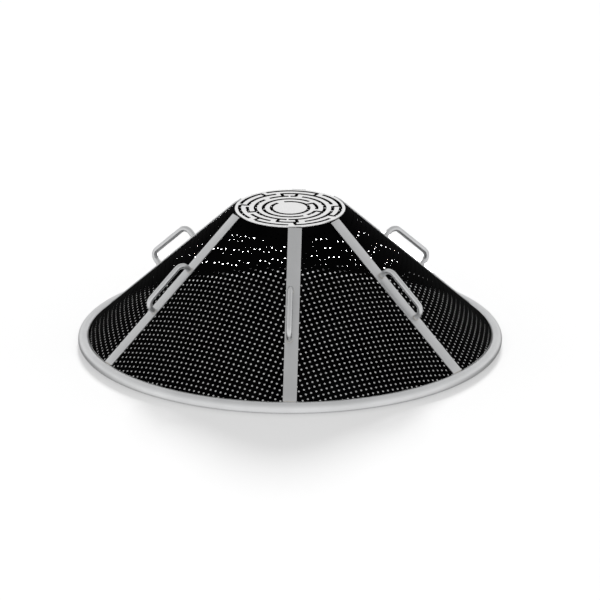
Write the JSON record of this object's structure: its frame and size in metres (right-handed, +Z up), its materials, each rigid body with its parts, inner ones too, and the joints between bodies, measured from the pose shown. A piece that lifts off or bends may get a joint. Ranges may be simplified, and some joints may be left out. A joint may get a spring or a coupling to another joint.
{
  "type": "fire pit spark cover",
  "caption": "Conical spark cover for a round fire pit: tube base ring, flat ribs, perforated sheet panels, lifting handles and a slotted top plate.",
  "frame": {"origin": "centre of the base ring, on the surface that it stands on", "axes": "+Z up along the cone's axis; -Y towards the front seam, the one whose rib and handle face the viewer; +X to the viewer's right"},
  "size_m": [0.914, 0.914, 0.312],
  "materials": {
    "satin_steel": "satin, bead blasted",
    "plate_steel": "satin, laser cut",
    "black_sheet": "matt heat-resistant black"
  },
  "bodies": {
    "root": {"base_ring": "satin_steel", "rib_1": "satin_steel", "rib_2": "satin_steel", "rib_3": "satin_steel", "rib_4": "satin_steel", "rib_5": "satin_steel", "rib_6": "satin_steel", "handle_1": "satin_steel", "handle_2": "satin_steel", "handle_3": "satin_steel", "handle_4": "satin_steel", "handle_5": "satin_steel", "handle_6": "satin_steel", "mesh_panel_1": "black_sheet", "mesh_panel_2": "black_sheet", "mesh_panel_3": "black_sheet", "mesh_panel_4": "black_sheet", "mesh_panel_5": "black_sheet", "mesh_panel_6": "black_sheet", "top_hoop": "black_sheet", "top_plate": "plate_steel"}
  },
  "joints": []
}
